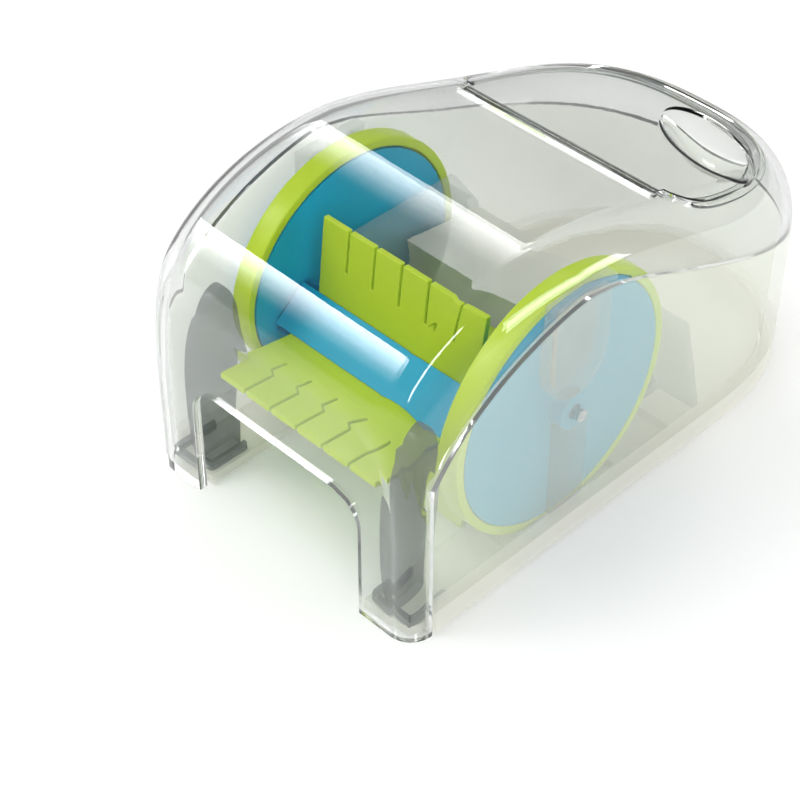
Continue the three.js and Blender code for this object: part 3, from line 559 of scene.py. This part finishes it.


# A dark plate inside each leg, beside the mouth, in painted shade: it stands in for the dark reflections
# there. Its pointed top follows the dome and its rear edge the wheel: a smooth curve through the outline's
# points, drawn sideways.
def buildLegShadePlate(side):
    corners = np.array(legShadePlate["outline"])
    before = np.vstack([corners[:1], corners[:-1]])
    after = np.vstack([corners[1:], corners[-1:]])
    slope = (after - before) / 2
    t = np.linspace(0, 1, legShadePlate["stepsPerPoint"], endpoint=False)[:, None]
    weights = (2 * t ** 3 - 3 * t ** 2 + 1, t ** 3 - 2 * t ** 2 + t,
               3 * t ** 2 - 2 * t ** 3, t ** 3 - t ** 2)
    parts = (corners[:-1], slope[:-1], corners[1:], slope[1:])  # each point and slope, and the next ones
    curve = sum(weight * part[:, None] for weight, part in zip(weights, parts))
    outline = np.vstack([curve.reshape(-1, 2), corners[-1:]])
    low, high = sorted(side * x for x in (legShadePlate["inner"], legShadePlate["outer"]))
    rib = drawnOutline(sideName(side) + "_leg_shade_plate", outline, low, high)
    addRounding(rib, legShadePlate["rounding"], legShadePlate["sharpAngle"], legShadePlate["roundingSegments"])
    placePiece(rib, "housing", legShadePlastic)


footShadeLip = {
    "inset": 3.0, "bottom": 2.35, "top": 4.3, "thickness": 0.9, "from": -30.0, "rounding": 0.3,
    "mouthGap": 0.4, "cornerStart": 1.2, "cornerStep": 0.4, "rows": 4,
}


# A low dark lip round the inside of each leg's foot, in painted shade for the dark outline of the foot: the
# outline drawn in, raised as an upright band.
def buildFootShadeLip(side):
    f = footShadeLip
    inner = housing["mouthHalf"] + f["mouthGap"]
    x, y = halfOutline(f["inset"])
    keep = (y[0] < f["from"]) & (x[0] > inner)
    x, y = x[0][keep], np.maximum(y[0][keep], f["inset"] - housing["front"])
    start = [[inner, f["from"]], [inner, y[0] + f["cornerStart"]],
             [inner + f["cornerStep"], y[0] + f["cornerStep"]]]
    path = np.vstack([start, np.column_stack([x, y])])
    levels = np.linspace(f["bottom"], f["top"], f["rows"])[:, None]
    grid = np.stack(np.broadcast_arrays(side * path[:, 0], path[:, 1], levels), -1)
    liner = makePiece(sideName(side) + "_foot_shade_lip", [(grid, gridFaces(*grid.shape[:2]))])
    addWall(liner, f["thickness"])
    addRounding(liner, f["rounding"])
    placePiece(liner, "housing", legShadePlastic)


# The milky lower shell: the upright wall behind the parting line, from one side round the rear to the other.
def buildLowerShell():
    h = housing
    x, y = halfOutline(0)
    x, y = x[0], y[0]
    keep = y > h["partingY"] - nearly
    x, y = x[keep], y[keep]
    top = shoulderHeight(y)
    rail = np.linspace(h["ground"], h["railTop"], h["railRows"])[:, None] + np.zeros_like(top)
    above = h["railTop"] + (top - h["railTop"]) * np.linspace(0, 1, h["shellRows"])[1:, None]
    z = np.concatenate([rail, above])
    grid = np.stack(np.broadcast_arrays(x, y, z), -1)
    shell = makePiece("milky_lower_shell", bothSides(grid))
    addWall(shell, h["wall"])
    addRounding(shell, h["shellRounding"])
    placePiece(shell, "housing", milkyPlastic, ["lower_shell"])
    shell.data.materials.append(creamPlastic)
    height = np.array([face.center.z for face in shell.data.polygons]) / metres
    shell.data.polygons.foreach_set("material_index", (height < h["railTop"]).astype(np.int32))


buildCover()
buildLidLedge()
for side in (1, -1):
    buildLegShadePlate(side)
    buildFootShadeLip(side)
buildLowerShell()
print("housing made")


# Hopper lid.

# How far a place on the top lies in from the outline, found by halving.
def narrowAt(x, y):
    h = housing
    x = np.abs(x)
    low, high = np.full(x.shape, lid["searchFrom"]), np.full(x.shape, lid["searchTo"])
    power = h["rearRoundPower"]
    for step in range(halvings):
        middle = (low + high) / 2
        depth = np.maximum(h["rear"] - middle - h["rearRoundStart"], lid["leastDepth"])
        along = np.clip((y - h["rearRoundStart"]) / depth, 0, None)
        inside = (x / (h["halfWidth"] - middle)) ** power + along ** power < 1
        low = np.where(inside, middle, low)
        high = np.where(inside, high, middle)
    return low


# Depth of the scoop below the lid: full in the middle, and fading to nothing at the rim of a turned ellipse.
def scoopDepth(x, y):
    turn = math.radians(lid["scoopTurn"])
    dx, dy = x - lid["scoopX"], y - lid["scoopY"]
    u = (dx * math.cos(turn) + dy * math.sin(turn)) / lid["scoopHalfLength"]
    v = (-dx * math.sin(turn) + dy * math.cos(turn)) / lid["scoopHalfWidth"]
    level = np.clip(1 - (u ** 2 + v ** 2) / lid["scoopSpread"] ** 2, 0, 1)
    return lid["scoopDepth"] * level ** lid["scoopSteepness"]


# The lid's plate, rows across its outline that follow the housing's skin and dip at the scoop, and the
# barrel along its front edge.
def buildLid():
    ears = lid["earStart"] + (lid["earEnd"] - lid["earStart"]) * np.linspace(0, 1, lid["earRows"]) ** 2
    tip = housing["rear"] - lid["rearInset"] - lid["rearTip"]
    rounded = lid["earEnd"] + (tip - lid["earEnd"]) * np.sin(np.linspace(0, np.pi / 2, lid["rearRows"]))
    hinge = np.linspace(lid["hingeY"], lid["earStart"], lid["hingeRows"])
    rowsY = np.concatenate([hinge[:-1], ears, rounded[1:]])
    across = np.linspace(-1, 1, lid["columns"])
    x = lidHalfWidth(rowsY, 0)[:, None] * across
    y = np.broadcast_to(rowsY[:, None], x.shape)
    grid = np.stack([x, y, skinHeight(y, narrowAt(x, y)) - scoopDepth(x, y)], -1)
    plate = makePiece("clear_hopper_lid", [(grid, gridFaces(*grid.shape[:2]))])
    addWall(plate, lid["thickness"])
    addRounding(plate, lid["rounding"], lid["sharpAngle"])
    placePiece(plate, "lid", clearPlastic, ["hopper_lid"])
    half, radius, bore = lid["barrelHalf"], lid["barrelRadius"], lid["pinBore"]
    axisZ = float(topHeight(lid["hingeY"])) - radius
    barrel = turnedProfile("lid_hinge_barrel", [(-half, bore), (-half, radius), (half, radius), (half, bore)],
                           lid["hingeY"], axisZ, lid["barrelSides"])
    addRounding(barrel, lid["smallRounding"])
    placePiece(barrel, "lid", clearPlastic)


buildLid()
print("lid made")


# Wheels.

wheel = {
    "radius": 26.0, "inner": 23.5, "outer": 27.8, "edgeWall": 1.7, "discThickness": 1.2, "gearStart": 24.8,
    "gearEnd": 26.5, "teeth": 34, "toothTip": 21.1, "toothRoot": 23.65, "toothShare": 0.5, "flank": 0.3,
    "hubRadius": 3.6, "hubEnd": 30.5, "innerHubRadius": 2.2, "bore": 1.36, "hubStart": 24.8,
    "meshAngle": 192.0, "round": 0.3, "samplesPerTooth": 16, "discFit": 0.12, "discRound": 0.25,
    "discSides": 160, "sharpAngle": 40, "arcSteps": 4, "arcShare": 0.45,
}


# Corner points of a closed (x, radius) profile replaced by short parabolic arcs.
def roundedProfile(corners, radius):
    corners = np.asarray(corners, float)
    out = []
    for before, here, after in zip(np.roll(corners, 1, 0), corners, np.roll(corners, -1, 0)):
        a, b = before - here, after - here
        la, lb = np.linalg.norm(a), np.linalg.norm(b)
        r = min(radius, la * wheel["arcShare"], lb * wheel["arcShare"])
        start, end = here + a / la * r, here + b / lb * r
        for t in np.linspace(0, 1, wheel["arcSteps"]):
            out.append((1 - t) ** 2 * start + 2 * t * (1 - t) * here + t ** 2 * end)
    return np.array(out)


# Sharp edges where faces meet at more than the angle, so that the flats stay flat.
def markSharp(piece):
    piece.data.set_sharp_from_angle(angle=math.radians(wheel["sharpAngle"]))


# A rim: a closed profile turned about X whose gear band follows the teeth round the ring.
def buildRim(side):
    w = wheel
    seat = w["radius"] - w["edgeWall"]
    corners = [(w["inner"], seat), (w["inner"], w["radius"]), (w["outer"], w["radius"]), (w["outer"], seat)]
    outer = roundedProfile(corners, w["round"])
    gearX = [w["gearEnd"], w["gearEnd"], w["gearStart"], w["gearStart"]]
    count = w["teeth"] * w["samplesPerTooth"]
    turn = np.arange(count) / count * 2 * np.pi
    phase = ((turn - math.radians(w["meshAngle"])) / (2 * np.pi) * w["teeth"]) % 1.0
    away = np.abs(phase - 0.5) * 2  # 0 at the middle of a tooth, 1 at the middle of a gap
    fall = np.clip((away - (w["toothShare"] - w["flank"] / 2)) / w["flank"], 0, 1)
    tooth = w["toothTip"] + (w["toothRoot"] - w["toothTip"]) * fall
    seats = np.full(count, seat)
    gearRadius = np.stack([seats, tooth, tooth, seats], 1)
    x = np.concatenate([outer[:, 0], gearX])
    radius = np.concatenate([outer[:, 1][None].repeat(count, 0), gearRadius], 1)
    y = radius * np.cos(turn[:, None])
    z = w["radius"] + radius * np.sin(turn[:, None])
    grid = np.stack(np.broadcast_arrays(side * x, y, z), -1)
    name = sideName(side)
    rim = makePiece(name + "_green_rim", [(grid, gridFaces(*grid.shape[:2], True, True))])
    markSharp(rim)
    placePiece(rim, name + "_wheel", greenPlastic, [name + "_wheel_rim"])


# A disc with its two hub tubes, as one closed profile turned about X.
def buildDisc(side):
    w = wheel
    edge = w["radius"] - w["edgeWall"] - w["discFit"]
    web = w["outer"] - w["discThickness"]
    corners = [(w["hubStart"], w["bore"]), (w["hubStart"], w["innerHubRadius"]), (web, w["innerHubRadius"]),
               (web, edge), (w["outer"], edge), (w["outer"], w["hubRadius"]), (w["hubEnd"], w["hubRadius"]),
               (w["hubEnd"], w["bore"])]
    name = sideName(side)
    profile = roundedProfile(corners, w["discRound"])
    disc = turnedProfile(name + "_blue_disc", profile, 0, w["radius"], w["discSides"], side < 0)
    markSharp(disc)
    placePiece(disc, name + "_wheel", bluePlastic, [name + "_wheel_disc"])


for side in (1, -1):
    buildRim(side)
    buildDisc(side)
print("wheels made")


# Paddle drum.

drum = {
    "y": -12.7159, "z": 23.2971, "coreCorner": 8.0, "coreHalf": 23.2, "reach": 22.8, "thickness": 1.2,
    "length": 38.6, "rootDepth": 2.4, "slots": 5, "slotWidth": 0.5, "slotDepth": 8.5, "firstAngle": 84.0,
    "paddles": 4, "fit": 0.1, "round": 0.22, "slotArc": 7, "sharpAngle": 60, "coreRound": 0.15,
    "coreSharpAngle": 30,
}


# The angle of a paddle about the drum's axis, counted from the first.
def paddleAngle(index):
    return math.radians(drum["firstAngle"] + 360 / drum["paddles"] * index)


# A paddle lying along +Y, cut into fingers by narrow slots with round ends, then turned to its place.
def buildPaddle(index):
    d = drum
    root = d["coreCorner"] - d["rootDepth"] + d["fit"]
    half = d["length"] / 2
    outline = [(-half, root), (half, root), (half, d["reach"])]
    slotEnd = d["reach"] - d["slotDepth"]
    r = d["slotWidth"] / 2
    for i in range(d["slots"], 0, -1):
        x = -half + d["length"] * i / (d["slots"] + 1)
        outline.append((x + r, d["reach"]))
        for turn in np.linspace(0, -np.pi, d["slotArc"]):
            outline.append((x + r * math.cos(turn), slotEnd + r + r * math.sin(turn)))
        outline.append((x - r, d["reach"]))
    outline.append((-half, d["reach"]))
    outline = np.array(outline)
    angle = paddleAngle(index)
    rings = []
    for level in (-d["thickness"] / 2, d["thickness"] / 2):
        y = outline[:, 1] * math.cos(angle) - level * math.sin(angle)
        z = outline[:, 1] * math.sin(angle) + level * math.cos(angle)
        rings.append(np.column_stack([outline[:, 0], d["y"] + y, d["z"] + z]))
    number = str(index + 1)
    blade = makePrism("slotted_paddle_" + number, rings)
    addRounding(blade, d["round"], d["sharpAngle"])
    placePiece(blade, "drum", greenPlastic, ["paddle_" + number])


# The square core, with a groove at each corner for a paddle's root.
def buildCore():
    d = drum
    outline = []
    half = d["thickness"] / 2 + d["fit"]
    rim = d["coreCorner"] - half
    floor = d["coreCorner"] - d["rootDepth"]
    for index in range(d["paddles"]):
        angle = paddleAngle(index)
        out = np.array([math.cos(angle), math.sin(angle)])
        across = np.array([-math.sin(angle), math.cos(angle)])
        for away, offset in ((rim, -half), (floor, -half), (floor, half), (rim, half)):
            outline.append(out * away + across * offset)
    outline = np.array(outline) + [d["y"], d["z"]]
    core = drawnOutline("square_drum_core", outline, -d["coreHalf"], d["coreHalf"])
    addRounding(core, d["coreRound"], d["coreSharpAngle"])
    placePiece(core, "drum", bluePlastic, ["drum_core"])


for index in range(drum["paddles"]):
    buildPaddle(index)
buildCore()
print("drum made")


# Carried-over nodes keep their solids and get these finishes.

finishes = {
    "base_tray": creamPlastic, "pickup_ramp": creamPlastic,
    "right_wheel_guard": innerClear, "left_wheel_guard": innerClear,
    "right_axle_post": postPlastic, "left_axle_post": postPlastic,
    "right_axle_keeper": innerClear, "left_axle_keeper": innerClear,
    "right_gear_cover": bluePlastic, "left_gear_cover": bluePlastic,
    "right_stub_axle": axleSteel, "left_stub_axle": axleSteel, "drum_axle": axleSteel,
    "right_lid_pin": axleSteel, "left_lid_pin": axleSteel,
    "right_pinion": whitePlastic, "left_pinion": whitePlastic,
}
for name, material in finishes.items():
    piece = nodes[name]
    piece.data.materials.clear()
    piece.data.materials.append(material)
print("carried-over nodes finished")


# Studio.

studio = {
    "floorSize": 6.0, "floorDrop": 0.00002, "floorColour": (0.95, 0.95, 0.95, 1), "floorRoughness": 0.9,
    "floorGloss": 0.1, "floorFade": (0.14, 0.4), "fillStrength": 0.5, "horizonStrength": 0.4,
    "upperStrength": 0.13, "upperStart": 0.8, "cameraAt": (0.1936, -0.21901, 0.26127), "azimuth": 45.38,
    "elevation": 41.98, "lens": 92.61, "sensorWidth": 36,
}
# Each strip stands where the dome mirrors it as one of its bright streaks. The fills leave none.
lamps = [
    {"name": "frontStrip", "place": (-0.54, -0.59, 0.52), "aim": (0, -0.04, 0.055), "size": (0.5, 0.4),
     "power": 8.5, "fade": 2.0, "turn": -30},
    {"name": "rearStrip", "place": (-0.53, 0.43, 0.62), "aim": (0, -0.025, 0.06), "size": (0.4, 0.26),
     "power": 2.2, "fade": 1.6, "turn": 217},
    {"name": "shoulderStrip", "place": (0.72, 0.53, 0.16), "aim": (0, -0.02, 0.055), "size": (0.6, 0.16),
     "power": 2.0},
    {"name": "cornerStrip", "place": (0.6, -0.42, 0.6), "aim": (0.02, -0.04, 0.055), "size": (0.06, 0.9),
     "power": 2.0, "turn": 50},
    {"name": "sideFill", "place": (0.75, -0.35, 0.35), "aim": (0, 0, 0.03), "size": (0.5, 0.4),
     "power": 1.0, "mirrored": False},
    {"name": "topFill", "place": (-0.25, -0.1, 0.9), "aim": (0, 0, 0.03), "size": (0.6, 0.5),
     "power": 2.4, "mirrored": False},
]


# The floor takes the object's shadow near it, and fades to plain white further out for rays that see it.
def buildFloor():
    half = studio["floorSize"] / 2
    mesh = bpy.data.meshes.new("floor")
    corners = [(-half, -half, 0), (half, -half, 0), (half, half, 0), (-half, half, 0)]
    mesh.from_pydata(corners, [], [(0, 1, 2, 3)])
    floor = bpy.data.objects.new("floor", mesh)
    scene.collection.objects.link(floor)
    floor.location.z = -studio["floorDrop"]
    material = bpy.data.materials.new("paleFloor")
    material.use_nodes = True
    tree = material.node_tree
    link = tree.links.new
    surface = tree.nodes["Principled BSDF"]
    surface.inputs["Base Color"].default_value = studio["floorColour"]
    surface.inputs["Roughness"].default_value = studio["floorRoughness"]
    surface.inputs["Specular IOR Level"].default_value = studio["floorGloss"]
    place = addNode(tree, "ShaderNodeTexCoord")
    away = addNode(tree, "ShaderNodeVectorMath", operation="LENGTH")
    fade = addNode(tree, "ShaderNodeMapRange", interpolation_type="SMOOTHSTEP")
    fade.inputs["From Min"].default_value, fade.inputs["From Max"].default_value = studio["floorFade"]
    rays = addNode(tree, "ShaderNodeLightPath")
    mirrored = addNode(tree, "ShaderNodeMath", operation="MAXIMUM")
    seen = addNode(tree, "ShaderNodeMath", operation="MAXIMUM")
    share = addNode(tree, "ShaderNodeMath", operation="MULTIPLY")
    plain = addNode(tree, "ShaderNodeEmission", Color=white, Strength=1.0)
    mix = addNode(tree, "ShaderNodeMixShader")
    link(place.outputs["Object"], away.inputs[0])
    link(away.outputs["Value"], fade.inputs["Value"])
    link(rays.outputs["Is Glossy Ray"], mirrored.inputs[0])
    link(rays.outputs["Is Transmission Ray"], mirrored.inputs[1])
    link(rays.outputs["Is Camera Ray"], seen.inputs[0])
    link(mirrored.outputs[0], seen.inputs[1])
    link(fade.outputs["Result"], share.inputs[0])
    link(seen.outputs[0], share.inputs[1])
    link(share.outputs[0], mix.inputs["Fac"])
    link(surface.outputs["BSDF"], mix.inputs[1])
    link(plain.outputs["Emission"], mix.inputs[2])
    link(mix.outputs["Shader"], tree.nodes["Material Output"].inputs["Surface"])
    mesh.materials.append(material)


# White to the camera, an even fill for diffuse light, and for mirrored and refracted rays a room that is
# bright up to the horizon and darkens overhead.
def buildWorld():
    world = bpy.data.worlds.new("paleStudio")
    scene.world = world
    world.use_nodes = True
    tree = world.node_tree
    link = tree.links.new
    fill = tree.nodes["Background"]
    fill.inputs["Color"].default_value = white
    fill.inputs["Strength"].default_value = studio["fillStrength"]
    place = addNode(tree, "ShaderNodeTexCoord")
    split = addNode(tree, "ShaderNodeSeparateXYZ")
    fade = addNode(tree, "ShaderNodeMapRange", interpolation_type="SMOOTHSTEP")
    fade.inputs["From Max"].default_value = studio["upperStart"]
    fade.inputs["To Min"].default_value = studio["horizonStrength"]
    fade.inputs["To Max"].default_value = studio["upperStrength"]
    room = addNode(tree, "ShaderNodeBackground", Color=white)
    link(place.outputs["Generated"], split.inputs["Vector"])
    link(split.outputs["Z"], fade.inputs["Value"])
    link(fade.outputs["Result"], room.inputs["Strength"])
    seen = addNode(tree, "ShaderNodeBackground", Color=white, Strength=1.0)
    rays = addNode(tree, "ShaderNodeLightPath")
    either = addNode(tree, "ShaderNodeMath", operation="MAXIMUM")
    link(rays.outputs["Is Glossy Ray"], either.inputs[0])
    link(rays.outputs["Is Transmission Ray"], either.inputs[1])
    mirrored = addNode(tree, "ShaderNodeMixShader")
    link(either.outputs[0], mirrored.inputs["Fac"])
    link(fill.outputs["Background"], mirrored.inputs[1])
    link(room.outputs["Background"], mirrored.inputs[2])
    whole = addNode(tree, "ShaderNodeMixShader")
    link(rays.outputs["Is Camera Ray"], whole.inputs["Fac"])
    link(mirrored.outputs["Shader"], whole.inputs[1])
    link(seen.outputs["Background"], whole.inputs[2])
    link(whole.outputs["Shader"], tree.nodes["World Output"].inputs["Surface"])


# A rectangular lamp turned to its aim, then spun by turn degrees. With fade above 0 its light falls off from
# one edge to the opposite one. A lamp that isn't mirrored leaves no streak on the plastic.
def addSoftbox(name, place, aim, size, power, mirrored=True, fade=0.0, turn=0.0):
    lamp = bpy.data.lights.new(name, "AREA")
    lamp.shape = "RECTANGLE"
    lamp.size, lamp.size_y = size
    lamp.energy = power
    box = bpy.data.objects.new(name, lamp)
    scene.collection.objects.link(box)
    box.visible_glossy = mirrored
    box.visible_transmission = mirrored
    box.location = place
    look = mathutils.Vector(np.asarray(aim, float) - np.asarray(place, float))
    spin = mathutils.Quaternion(look, math.radians(turn))
    box.rotation_mode = "QUATERNION"
    box.rotation_quaternion = spin @ look.to_track_quat("-Z", "Y")
    if fade > 0:
        lamp.use_nodes = True
        tree = lamp.node_tree
        across = addNode(tree, "ShaderNodeNewGeometry")
        split = addNode(tree, "ShaderNodeSeparateXYZ")
        fall = addNode(tree, "ShaderNodeMath", operation="POWER")
        fall.inputs[1].default_value = fade
        tree.links.new(across.outputs["Parametric"], split.inputs["Vector"])
        tree.links.new(split.outputs["Y"], fall.inputs[0])
        tree.links.new(fall.outputs[0], tree.nodes["Emission"].inputs["Strength"])


def buildCamera():
    camera = bpy.data.cameras.new("camera")
    camera.lens = studio["lens"]
    camera.sensor_width = studio["sensorWidth"]
    view = bpy.data.objects.new("camera", camera)
    scene.collection.objects.link(view)
    view.location = studio["cameraAt"]
    view.rotation_euler = (math.radians(90 - studio["elevation"]), 0, math.radians(studio["azimuth"]))
    scene.camera = view


buildFloor()
buildWorld()
for lamp in lamps:
    addSoftbox(**lamp)
buildCamera()
scene.view_settings.view_transform = "Standard"
print("studio made")
